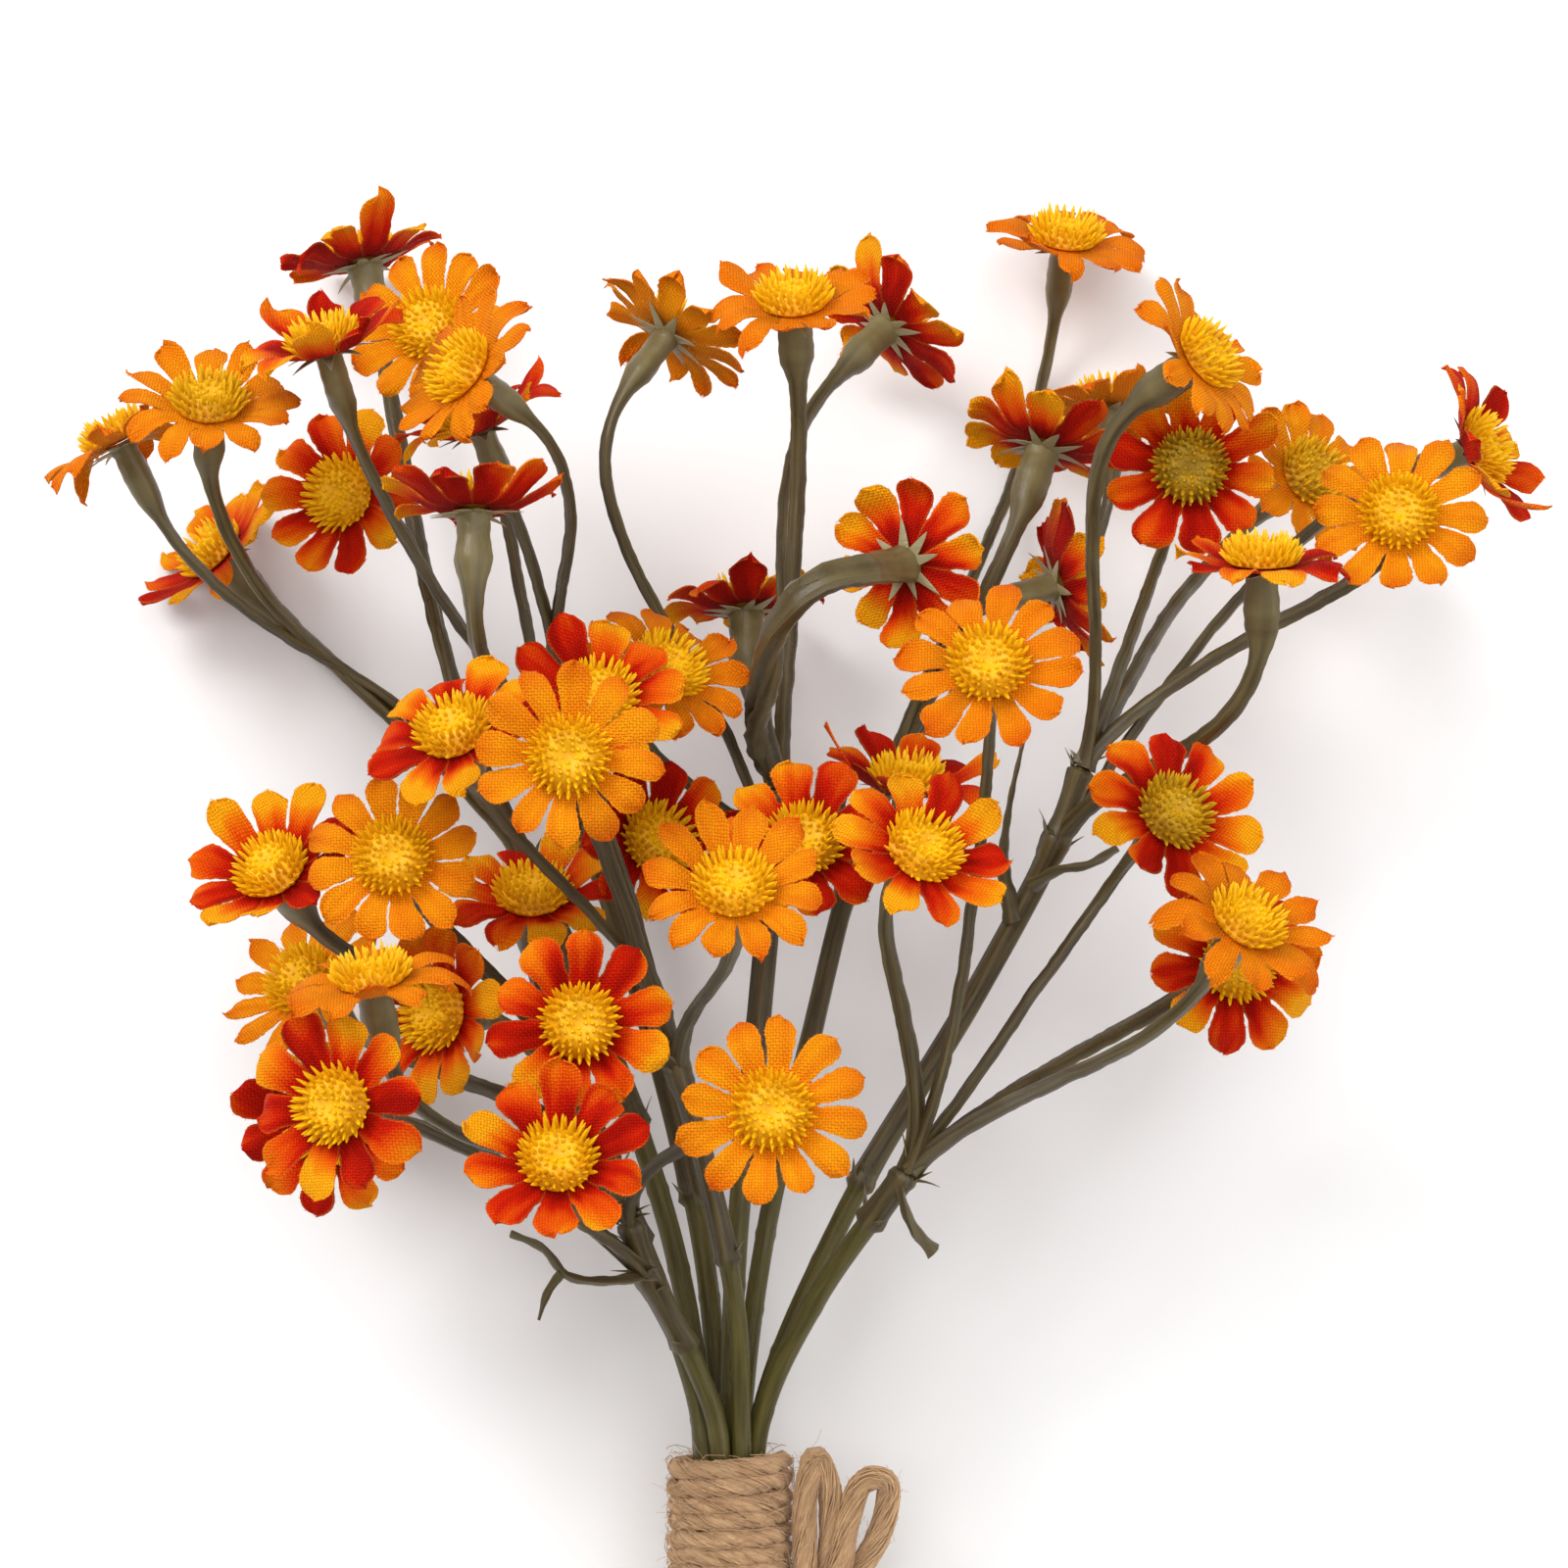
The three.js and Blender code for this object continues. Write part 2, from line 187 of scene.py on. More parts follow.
def bezier(p0, p1, p2, p3, step):
    t = np.linspace(0, 1, 60)[:, None]
    line = (1 - t) ** 3 * p0 + 3 * (1 - t) ** 2 * t * p1 + 3 * (1 - t) * t**2 * p2 + t**3 * p3
    return evenly(line, step)


def unit(v):
    return v / np.linalg.norm(v, axis=-1, keepdims=True)


def side_axes(line):
    """Two axes across a line at each of its points, turning as little as they can along it."""
    along = unit(np.gradient(line, axis=0))
    side = np.cross(along[0], [0, 0, 1] if abs(along[0][2]) < 0.9 else [1, 0, 0])
    sides = []
    for direction in along:
        side = unit(side - direction * (side @ direction))
        sides.append(side)
    sides = np.array(sides)
    return sides, np.cross(along, sides)


class Shape:
    """Corners, faces and named values at the corners, gathered for one mesh."""

    def __init__(self, *names):
        self.corners = []
        self.faces = []
        self.values = {name: [] for name in names}
        self.count = 0

    def add(self, corners, faces, **values):
        corners = np.asarray(corners, float)
        self.corners.append(corners)
        self.faces.extend((np.asarray(face) + self.count).tolist() for face in faces)
        for name, stored in self.values.items():
            given = np.asarray(values.get(name, 0.0), float)
            width = given.shape[-1:] if given.ndim == 2 else ()
            stored.append(np.broadcast_to(given, (len(corners), *width)))
        self.count += len(corners)

    def piece(self, name, material, slot, nodes, sharp=40):
        """The finished piece: a smooth mesh in the frame, riding on the part."""
        mesh = bpy.data.meshes.new(name)
        mesh.from_pydata(to_row(np.vstack(self.corners)), [], self.faces)
        for key, stored in self.values.items():
            stored = np.concatenate(stored)
            kind = "FLOAT_VECTOR" if stored.ndim == 2 else "FLOAT"
            attribute = mesh.attributes.new(key, kind, "POINT")
            attribute.data.foreach_set("vector" if stored.ndim == 2 else "value", stored.ravel())
        mesh.shade_smooth()
        mesh.set_sharp_from_angle(angle=math.radians(sharp))
        mesh.materials.append(material)
        piece = bpy.data.objects.new(name, mesh)
        bpy.context.scene.collection.objects.link(piece)
        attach(piece, "root")
        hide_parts(*nodes)
        return piece


def tube_faces(rings, sides):
    """Faces of a tube of rings, with both ends closed."""
    faces = []
    for i in range(rings - 1):
        for j in range(sides):
            k = (j + 1) % sides
            faces.append((i * sides + j, i * sides + k, (i + 1) * sides + k, (i + 1) * sides + j))
    faces.append(tuple(reversed(range(sides))))
    faces.append(tuple(range((rings - 1) * sides, rings * sides)))
    return faces


def ripples(sides):
    """How far a moulded bar's skin stands out or in, all round it."""
    angles = np.arange(sides) / sides * 2 * math.pi
    return np.cos(4 * angles + 0.6) + 0.45 * np.cos(7 * angles)


def creases(grooves, sides):
    """How deep in a groove each corner of a bar is, which sets how much shade is painted there."""
    return (np.asarray(grooves)[:, None] * 8 * np.clip(-ripples(sides), 0, 1)).ravel().clip(0, 1)


def bar(line, radii, sides, groove=0.0, flatten=0.0, turn=0.0, twist=0.5):
    """Corners of a bar along a line, grooved lengthwise and flattened, with a mould seam down each side."""
    across, over = side_axes(line)
    angles = np.arange(sides) / sides * 2 * math.pi
    ripple = ripples(sides)
    ripple[[0, sides // 2]] += 1.0
    reach = radii[:, None] * (1 + np.broadcast_to(groove, len(line))[:, None] * ripple)
    spin = angles + turn + twist * np.linspace(0, 1, len(line))[:, None]
    wide = reach * np.cos(angles) * (1 + flatten)
    high = reach * np.sin(angles) * (1 - flatten)
    tilt = spin - angles
    x = wide * np.cos(tilt) - high * np.sin(tilt)
    y = wide * np.sin(tilt) + high * np.cos(tilt)
    return (line[:, None] + x[..., None] * across[:, None] + y[..., None] * over[:, None]).reshape(-1, 3)


def leaf(root, outward, up, length, width, droop):
    """A small pointed sepal, folded along its middle, with a thickness."""
    side = np.cross(outward, up)
    steps = np.linspace(0, 1, 5)
    corners = []
    for t in steps:
        half = width / 2 * (1 - t) ** 0.75 + 0.03
        middle = root + outward * (t * length) + up * (-droop * t * t * length)
        for v, lift in ((-1, 0.16), (0, 0.0), (1, 0.16)):
            corners.append(middle + side * (v * half) + up * (lift * (1 - t)))
        for v, lift in ((1, -0.02), (0, -0.22), (-1, -0.02)):
            corners.append(middle + side * (v * half) + up * (lift * (1 - 0.7 * t)))
    return np.array(corners), tube_faces(len(steps), 6)


def add_sepals(shape, rim, face):
    """A star of pointed sepals that spreads out under the petals."""
    sides, ups = side_axes(np.array([rim, rim + face]))
    count = rng.integers(8, 10)
    for k in range(count):
        angle = 2 * math.pi * (k + rng.uniform(-0.2, 0.2)) / count
        radial = sides[0] * math.cos(angle) + ups[0] * math.sin(angle)
        rise = math.radians(rng.uniform(-4, 12))
        outward = radial * math.cos(rise) + face * math.sin(rise)
        up = face * math.cos(rise) - radial * math.sin(rise)
        root = rim - face * 0.35 + radial * 1.9
        corners, faces = leaf(root, outward, up, rng.uniform(3.4, 5.2), rng.uniform(1.3, 1.9),
                              rng.uniform(-0.1, 0.3))
        pale = np.repeat(np.linspace(0.5, 1, 5), 6)
        shape.add(corners, faces, pale=pale, olive=1, grain=corners)


def travelled(line):
    """How far along a line each of its points is."""
    return np.concatenate([[0], np.cumsum(np.linalg.norm(np.diff(line, axis=0), axis=1))])


def round_grain(run, sides, width):
    """Places for the surface's streaks: along the bar, round it, and a place of its own for each bar."""
    return np.column_stack([np.repeat(run, sides), np.tile(np.arange(sides) / sides * width, len(run)),
                            np.full(len(run) * sides, rng.uniform(0, 90))])


def add_branch(shape, name, fork, along, hub, face):
    """One grooved branch from the fork, swelling into the cup that the head sits on, with its sepals."""
    rim = hub - face * HUB_GAP
    foot = rim - face * CUP_LENGTH
    if name in BENT:
        line = smooth_curve([fork, *BENT[name], foot], 1.1)
        cup_start, stout, twist = foot, 1.0, 2.4
    else:
        cup_start = foot + face * 0.3 * CUP_LENGTH
        reach = cup_start - fork
        pull = np.linalg.norm(reach) * 0.36
        leaving = unit(along + unit(reach))
        line = bezier(fork, fork + leaving * pull, cup_start - face * pull, cup_start, 1.1)
        stout, twist = 0.0, rng.uniform(-1.2, 1.2)
    cup_run = np.linalg.norm(rim - cup_start)
    line = np.vstack([line[:-1], cup_start + np.outer(np.linspace(0, cup_run, 14), face)])
    run = travelled(line)
    to_rim = run[-1] - run
    radii = np.interp(to_rim, CUP_DISTANCES, CUP_RADII) + 0.5 * np.exp(-run / 3.0)
    least = np.interp(run / run[-1], [0, 0.2, 0.5, 0.8, 1], [1.2, 1.5, 2.0, 2.35, 2.5])
    radii = np.maximum(radii, stout * least)
    radii = radii * (1 + 0.035 * np.sin(run * 1.1 + hub[0]) + 0.02 * np.sin(run * 2.9 + hub[1]))
    wander = np.cumsum(rng.normal(0, 0.05, (len(line), 3)), axis=0)
    line = line + wander * np.clip(np.minimum(run, to_rim - CUP_LENGTH) / 12, 0, 1)[:, None]
    groove = np.interp(to_rim, [1, 6, 12], [0.02, 0.04, 0.11])
    sides = 18
    corners = bar(line, radii, sides, groove, 0.13, rng.uniform(0, 3), twist)
    olive = np.repeat(np.interp(to_rim, [0, 6, 13, 30], [1.0, 0.85, 0.3, 0.0]), sides)
    shape.add(corners, tube_faces(len(line), sides), olive=olive, crease=creases(groove, sides),
              grain=round_grain(run, sides, 6.3))
    add_sepals(shape, rim, face)
    if name in BENT:
        across, over = side_axes(line)
        part = slice(0, int(0.72 * len(line)))
        turn = run[part, None] * 0.17 + 2.2
        swell = np.sin(math.pi * np.linspace(0, 1, len(turn)))[:, None] ** 0.5
        offset = swell * (radii[part, None] * 0.75 + 0.45)
        partner = line[part] + offset * (np.cos(turn) * across[part] + np.sin(turn) * over[part])
        add_twig(shape, partner, 1.15, 1.15)


def add_twig(shape, route, thick, thin):
    """A short side twig, snipped or torn off, lumpy along its length and closed flat at its end."""
    line = smooth_curve(route, 0.9) if len(route) < 9 else np.asarray(route)
    run = travelled(line)
    radii = np.linspace(thick, thin, len(line)) * (1 + 0.12 * np.sin(run * 1.7 + thick))
    corners = bar(line, radii, 10, 0.11, 0.2, rng.uniform(0, 3), 1.5)
    shape.add(corners, tube_faces(len(line), 10), olive=0.2, crease=creases(0.11 + 0 * run, 10),
              grain=round_grain(run, 10, 5.0))


def add_scales(shape, place, along, radius, count):
    """Little pointed scales that stand off a fork or a collar."""
    sides, ups = side_axes(np.array([place, place + along]))
    for _ in range(count):
        angle = rng.uniform(0, 2 * math.pi)
        radial = sides[0] * math.cos(angle) + ups[0] * math.sin(angle)
        lift = rng.uniform(0.5, 1.3)
        outward = unit(radial * math.cos(lift) + along * math.sin(lift))
        up = unit(radial - outward * (radial @ outward))
        root = place + radial * radius * 0.75 + along * rng.uniform(-1.5, 2.0)
        corners, faces = leaf(root, outward, up, rng.uniform(2.4, 4.4), rng.uniform(1.0, 1.7),
                              rng.uniform(-0.3, 0.1))
        shape.add(corners, faces, olive=0.3, pale=0.12, grain=corners)


def add_main(shape, letter, slot, via, forks):
    """The rod up from the handle, the collar where the spray is pushed over it, and the lumpy forks."""
    turn = (slot or 0) / 8 * 2 * math.pi
    radius = 0 if slot is None else SLOT_RING_R
    x, z = radius * math.cos(turn), radius * math.sin(turn)
    line = smooth_curve([[x, HANDLE_FOOT, z], [x, -20, z], [x, 3, z], *via, *forks], 0.9)
    run = travelled(line)
    collar = np.interp(COLLARS[letter], line[:, 1], run)
    past = run - collar
    lip = 0.36 * np.exp(-past / 5) + 0.28 * np.exp(-((past - 1) / 0.7) ** 2)
    radii = np.where(past < 0, ROD_R * 0.96, SPRAY_R + lip)
    for ring in collar - np.cumsum(rng.uniform(9, 19, 5)):
        radii = radii + 0.13 * np.exp(-(((run - ring) / 0.5) ** 2))
    for fork in forks:
        place = run[np.linalg.norm(line - fork, axis=1).argmin()]
        lump = np.exp(-(((run - place) / 2.3) ** 2))
        radii = radii * (1 + lump * 0.10 * np.sin(run * 3.1)) + 0.5 * lump
    end = run[-1] - run
    radii = radii * np.clip(end / 1.2, 0.05, 1) ** 0.5
    sides = 20
    groove = np.where(past < 0, 0.012, 0.065)
    corners = bar(line, radii, sides, groove, 0.05, rng.uniform(0, 3))
    green = np.repeat((past < 0).astype(float), sides)
    shape.add(corners, tube_faces(len(line), sides), green=green, crease=creases(groove * 1.6, sides),
              grain=round_grain(run, sides, 9.4))
    along = unit(np.gradient(line, axis=0))
    at_collar = np.abs(past - 1).argmin()
    add_scales(shape, line[at_collar], along[at_collar], 1.6, 2)
    for fork in forks:
        i = np.linalg.norm(line - fork, axis=1).argmin()
        add_scales(shape, line[i], along[i], 1.9, 4)


def socket(group, name, kind, way, value=None):
    item = group.interface.new_socket(name, in_out=way, socket_type=kind)
    if value is not None:
        item.default_value = value


def add_node(tree, kind, inputs=(), **settings):
    """A node with its settings and its inputs, each of them a value or another node's output."""
    node = tree.nodes.new(kind)
    for key, value in settings.items():
        setattr(node, key, value)
    for key, value in dict(inputs).items():
        if isinstance(value, bpy.types.NodeSocket):
            tree.links.new(value, node.inputs[key])
        else:
            node.inputs[key].default_value = value
    return node


def mix(tree, share, low, high, way="MIX"):
    """A mixed colour. The colours are plain ones or other nodes' outputs."""
    colours = {6: low, 7: high}
    values = {k: (*v, 1) if isinstance(v, tuple) else v for k, v in colours.items()}
    node = add_node(tree, "ShaderNodeMix", {0: share, **values}, data_type="RGBA", blend_type=way)
    return node.outputs[2]


def math_node(tree, operation, a, b=0.0, c=0.0):
    return add_node(tree, "ShaderNodeMath", {0: a, 1: b, 2: c}, operation=operation).outputs[0]


def attribute(tree, name, output="Fac"):
    return add_node(tree, "ShaderNodeAttribute", attribute_name=name).outputs[output]


def noise(tree, vector, scale, detail=3.0, roughness=0.5):
    inputs = {"Vector": vector, "Scale": scale, "Detail": detail, "Roughness": roughness}
    return add_node(tree, "ShaderNodeTexNoise", inputs).outputs["Fac"]


def stretched(tree, vector, scale):
    inputs = {0: vector, 1: scale}
    return add_node(tree, "ShaderNodeVectorMath", inputs, operation="MULTIPLY").outputs[0]


def span(tree, value, low, high, to_low=0.0, to_high=1.0):
    inputs = {"Value": value, "From Min": low, "From Max": high, "To Min": to_low, "To Max": to_high}
    return add_node(tree, "ShaderNodeMapRange", inputs).outputs[0]


def new_material(name):
    material = bpy.data.materials.new(name)
    material.use_nodes = True
    tree = material.node_tree
    return material, tree, tree.nodes["Principled BSDF"]


def bumped(tree, shader, height, strength, distance):
    bump = add_node(tree, "ShaderNodeBump", {"Height": height, "Strength": strength, "Distance": distance})
    tree.links.new(bump.outputs[0], shader.inputs["Normal"])


def stem_plastic():
    """Olive-brown moulded plastic: long streaks, painted shade in the grooves, pale dust flecks, paler cups,
    greener rods.
    """
    material, tree, shader = new_material("stem_plastic")
    grain = attribute(tree, "grain", "Vector")
    streaks = noise(tree, stretched(tree, grain, (0.12, 1.6, 1)), 1.0, 4)
    cloud = noise(tree, stretched(tree, grain, (0.5, 0.5, 1)), 0.35, 2)
    fine = noise(tree, stretched(tree, grain, (1.2, 6, 1)), 1.6, 3)
    brown = mix(tree, span(tree, streaks, 0.35, 0.75), STEM_BROWN, STEM_OLIVE)
    olive = mix(tree, span(tree, cloud, 0.35, 0.65), STEM_OLIVE, CUP_OLIVE)
    base = mix(tree, attribute(tree, "olive"), brown, olive)
    green = mix(tree, span(tree, streaks, 0.35, 0.8), ROD_GREEN, ROD_PALE)
    base = mix(tree, attribute(tree, "green"), base, green)
    # painted shade: each groove is darkened towards near black by how deep the corner lies in it
    painted_shade = math_node(tree, "MULTIPLY", attribute(tree, "crease"), span(tree, fine, 0.25, 0.6, 0.95, 0.55))
    base = mix(tree, painted_shade, base, GROOVE_PAINTED_SHADE)
    base = mix(tree, attribute(tree, "pale"), base, SEPAL_PALE)
    base = mix(tree, span(tree, fine, 0.66, 0.85, 0, 0.25), base, (0.22, 0.20, 0.12))
    tree.links.new(base, shader.inputs["Base Color"])
    tree.links.new(span(tree, cloud, 0.3, 0.7, 0.24, 0.46), shader.inputs["Roughness"])
    shader.inputs["Specular IOR Level"].default_value = 0.32
    height = math_node(tree, "ADD", streaks, math_node(tree, "MULTIPLY", fine, 0.35))
    bumped(tree, shader, height, 0.4, 0.0004)
    return material


STEM_PLASTIC = stem_plastic()

for letter, (slot, via, forks) in STEM_ROUTES.items():
    spray = Shape("olive", "green", "pale", "crease", "grain")
    add_main(spray, letter, slot, via, forks)
    for tier, fork in zip(("low", "top"), forks):
        before = forks[0] if tier == "top" else via[-1]
        along = unit(np.subtract(fork, before).astype(float))
        for name, (hub, face, _) in FLOWERS.items():
            if name.startswith(f"daisy_{letter}_{tier}"):
                add_branch(spray, name, np.array(fork, float), along, hub, face)
    for stem, route, thick, thin in TWIGS:
        if stem == letter:
            add_twig(spray, route, thick, thin)
    spray.piece(f"spray_{letter}", STEM_PLASTIC, "stem_plastic", [f"stem_{letter}"], 55)

# ---------- cloth petals ----------
# Each ring of petals is stamped from one piece of stiffened woven cloth, slit between the petals, and pressed
# into shape with heat. The cut edges fray. Some are dyed orange, and more are deep red with yellower tips.

CLOTH = 0.2
THREAD = 0.4
PETAL_ROOT_R = 2.2
HUB_R = 5.3  # flat inside this radius, where the centre is pressed on
# petals: how many; slit: the radius where the cuts between them start; half_width: half of a petal at its
# widest; overlap: the most of its share of the ring that a petal takes up; lean: how far one edge lies over
# the next petal; cup: how steeply the ring rises; droop: how far the tips hang down again
CUTS = {
    "petals_orange": {"petals": 12, "slit": 5.9, "half_width": 2.32, "overlap": 0.92, "lean": 0.0,
                      "cup": (2, 20), "droop": (-0.3, 1.15)},
    "petals_red": {"petals": 10, "slit": 6.6, "half_width": 2.95, "overlap": 1.03, "lean": 0.35,
                   "cup": (10, 30), "droop": (-0.35, 1.1)},
}


def petal_grid(cut, radius, cup, sway, rows, columns):
    """One petal's shape over its rows from root to tip and its columns from side to side, along X."""
    pitch = math.pi / cut["petals"]
    tip = radius * rng.uniform(0.93, 1.04)
    r = PETAL_ROOT_R + (tip - PETAL_ROOT_R) * np.linspace(0, 1, rows) ** 0.65
    free = np.clip((r - cut["slit"]) / (tip - cut["slit"]), 0, 1)
    touching = r * math.tan(pitch)
    neck = cut["slit"] * math.tan(pitch) * 0.92
    widest = cut["half_width"] * rng.uniform(0.86, 1.08)
    paddle = neck + (widest - neck) * np.sin(np.clip(free * 1.3, 0, 1) * math.pi / 2) ** 1.4
    blunt = np.clip((r - tip + 2.9) / 2.9, 0, 1)
    round_end = np.sqrt(np.clip(1 - blunt ** rng.uniform(2.0, 3.2), 0.015, 1))
    half = np.where(free > 0, np.minimum(paddle, touching * cut["overlap"]), touching) * round_end
    v = np.linspace(-1, 1, columns)
    x = np.repeat(r[:, None], columns, 1)
    x = x - blunt[:, None] * (rng.uniform(-0.3, 0.2) * np.cos(v * 4.7) + rng.uniform(-0.35, 0.35) * v) * 0.6
    x = x + blunt[:, None] * rng.normal(0, 0.06, columns)
    y = half[:, None] * v + rng.normal(0, 0.06, (rows, columns)) * (np.abs(v) > 0.99) * (free > 0)[:, None]
    loose = (free**1.1)[:, None]
    steady = math.tan(math.radians(cup))
    rise = math.tan(math.radians(cup + sway + rng.normal(0, 9)))
    z = (x - HUB_R).clip(0) * steady + loose * (x - cut["slit"]) * (rise - steady)
    z = z + rng.uniform(0.0, 0.7) * np.sin(math.pi * loose) - rng.uniform(*cut["droop"]) * loose**2 * 2.6
    z = z + loose * (rng.uniform(-1.15, 0.85) * v**2 + (cut["lean"] + rng.uniform(-0.75, 0.75)) * v)
    z = z + loose * rng.uniform(0.1, 0.28) * np.cos(v * rng.uniform(4, 8) + rng.uniform(0, 6))
    z = z + loose * 0.15 * np.sin(x * rng.uniform(0.7, 1.5) + rng.uniform(0, 6) + 1.5 * v)
    return np.stack([x, y, z], -1), free


def two_faced(grid):
    """A grid of points made into a sheet with a thickness: corners, faces, and which grid point each is."""
    rows, columns = grid.shape[:2]
    along = np.gradient(grid, axis=0)
    across = np.gradient(grid, axis=1)
    normal = unit(np.cross(along, across))
    corners = np.concatenate([grid + normal * CLOTH / 2, grid - normal * CLOTH / 2]).reshape(-1, 3)
    index = np.arange(rows * columns).reshape(rows, columns)
    low = index + rows * columns
    top = np.stack([index[:-1, :-1], index[1:, :-1], index[1:, 1:], index[:-1, 1:]], -1).reshape(-1, 4)
    bottom = (top + rows * columns)[:, ::-1]
    rim = np.concatenate([index[:, 0], index[-1, 1:], index[::-1, -1][1:], index[0, ::-1][1:]])
    wall = np.stack([rim[:-1], low.ravel()[rim[:-1]], low.ravel()[rim[1:]], rim[1:]], -1)
    return corners, np.concatenate([top, bottom, wall]), normal


def loose_threads(grid, normal, free):
    """Short ends of thread that stick out of the cut edges."""
    corners = []
    rows, columns = grid.shape[:2]
    cut_rows = [i for i in range(rows) if free[i] > 0.02]
    edge = [(i, 0) for i in cut_rows] + [(i, columns - 1) for i in cut_rows]
    edge += [(rows - 1, j) for j in range(columns)] * 2
    for i, j in edge:
        for _ in range(2):
            inner = grid[i, 1] if j == 0 else grid[i, -2] if j == columns - 1 else grid[-3, j]
            outward = unit(grid[i, j] - inner)
            slide = grid[min(i + 1, rows - 1), j] - grid[max(i - 1, 0), j]
            root = grid[i, j] + slide * rng.uniform(-0.25, 0.25) - outward * 0.08
            way = unit(outward + rng.normal(0, 0.35, 3))
            side = unit(np.cross(way, normal[i, j])) * 0.035
            reach = rng.uniform(0.18, 0.5)
            corners += [root - side, root + side, root + way * reach]
    return np.array(corners)


def add_ring(shape, cut, radius, hub, face):
    """A ring of petals on its hub, facing the way the head does."""
    sides, ups = side_axes(np.array([hub, hub + face]))
    axes = np.array([sides[0], ups[0], face])
    cup = rng.uniform(*cut["cup"])
    sway, swayed = rng.uniform(0, 17), rng.uniform(0, 6.3)
    spin = rng.uniform(0, 6.3)
    bolt = rng.uniform(0, 900)
    shade = rng.uniform(0, 1)
    rows, columns = 17, 9
    edge = np.tile(np.linspace(-1, 1, columns), rows)
    for k in range(cut["petals"]):
        angle = 2 * math.pi * k / cut["petals"] + spin
        grid, free = petal_grid(cut, radius, cup, sway * math.cos(angle - swayed), rows, columns)
        share = (grid[..., 0] / radius).ravel()
        grid[..., 2] += 0.03 * (k % 2) * (grid[..., 0] / radius)
        swing = angle + free[:, None] ** 2 * rng.normal(0, 0.035)
        x = grid[..., 0] * np.cos(swing) - grid[..., 1] * np.sin(swing)
        y = grid[..., 0] * np.sin(swing) + grid[..., 1] * np.cos(swing)
        plan = np.stack([x, y, np.full_like(x, bolt)], -1).reshape(-1, 3)
        grid = np.stack([x, y, grid[..., 2]], -1) @ axes + hub + face * 0.35
        corners, faces, normal = two_faced(grid)
        local = np.column_stack([share, edge, np.full_like(share, bolt + 7 * k)])
        dye = np.array([rng.uniform(0, 1), rng.normal(0, 1), shade])
        shape.add(corners, faces, plan=np.vstack([plan, plan]), local=np.vstack([local, local]),
                  dye=np.tile(dye, (len(corners), 1)))
        threads = loose_threads(grid, normal, free)
        count = len(threads)
        shape.add(threads, np.arange(count).reshape(-1, 3), plan=np.full((count, 3), bolt),
                  local=np.tile([0.95, 0.8, bolt + 7 * k], (count, 1)), dye=np.tile(dye, (count, 1)))


def weave_group():
    """Plain weave over a flat plan in millimetres, with heavy warp threads. Gives its height and gaps."""
    group = bpy.data.node_groups.new("plain_weave", "ShaderNodeTree")
    socket(group, "Plan", "NodeSocketVector", "INPUT")
    socket(group, "Thread", "NodeSocketFloat", "INPUT", 0.4)
    socket(group, "Height", "NodeSocketFloat", "OUTPUT")
    socket(group, "Gap", "NodeSocketFloat", "OUTPUT")
    start = group.nodes.new("NodeGroupInput")
    finish = group.nodes.new("NodeGroupOutput")
    wobble = noise(group, start.outputs["Plan"], 0.9, 2)
    plan = add_node(group, "ShaderNodeSeparateXYZ", {0: start.outputs["Plan"]})
    waves = []
    for axis in ("X", "Y"):
        place = math_node(group, "MULTIPLY_ADD", wobble, 0.5, plan.outputs[axis])
        turns = math_node(group, "DIVIDE", place, start.outputs["Thread"])
        waves.append(math_node(group, "SINE", math_node(group, "MULTIPLY", turns, math.pi)))
    crossing = math_node(group, "MULTIPLY", waves[0], waves[1])
    warp_on_top = span(group, crossing, -0.15, 0.15)
    warp = math_node(group, "ABSOLUTE", waves[0])
    weft = math_node(group, "MULTIPLY", math_node(group, "ABSOLUTE", waves[1]), 0.75)
    under = math_node(group, "MULTIPLY", weft, math_node(group, "SUBTRACT", 1.0, warp_on_top))
    height = math_node(group, "MULTIPLY_ADD", warp, warp_on_top, under)
    group.links.new(height, finish.inputs["Height"])
    group.links.new(span(group, height, 0.5, 0.0), finish.inputs["Gap"])
    return group


PLAIN_WEAVE = weave_group()


def cloth(name, colours):
    """Dyed cloth. colours gives the dye, from how the petal took it. The weave and cut edges are the same."""
    material, tree, shader = new_material(name)
    plan = attribute(tree, "plan", "Vector")
    weave = add_node(tree, "ShaderNodeGroup", node_tree=PLAIN_WEAVE)
    tree.links.new(plan, weave.inputs["Plan"])
    weave.inputs["Thread"].default_value = THREAD
    local = add_node(tree, "ShaderNodeSeparateXYZ", {0: attribute(tree, "local", "Vector")}).outputs
    taken = add_node(tree, "ShaderNodeSeparateXYZ", {0: attribute(tree, "dye", "Vector")}).outputs
    flow = noise(tree, stretched(tree, attribute(tree, "local", "Vector"), (1.6, 1.1, 1)), 1.0, 2, 0.4)
    dye = colours(tree, local[0], local[1], taken, flow)
    fibre = noise(tree, stretched(tree, plan, (5, 5, 1)), 1.0, 2)
    dye = mix(tree, span(tree, fibre, 0.35, 0.75, 0, 0.12), dye, (0.95, 0.50, 0.10), "SOFT_LIGHT")
    rim = span(tree, math_node(tree, "ABSOLUTE", local[1]), 0.86, 1.0, 0, 0.16)
    dye = mix(tree, rim, dye, (0.88, 0.42, 0.05))
    # painted shade: the dye is darkened in the gaps between the threads, where shade falls
    gap = math_node(tree, "MULTIPLY", weave.outputs["Gap"], 0.6)
    painted_shade = mix(tree, gap, dye, (0.34, 0.09, 0.02), "MULTIPLY")
    tree.links.new(painted_shade, shader.inputs["Base Color"])
    shader.inputs["Roughness"].default_value = 0.72
    shader.inputs["Specular IOR Level"].default_value = 0.06
    bumped(tree, shader, weave.outputs["Height"], 0.9, 0.0002)
    return material


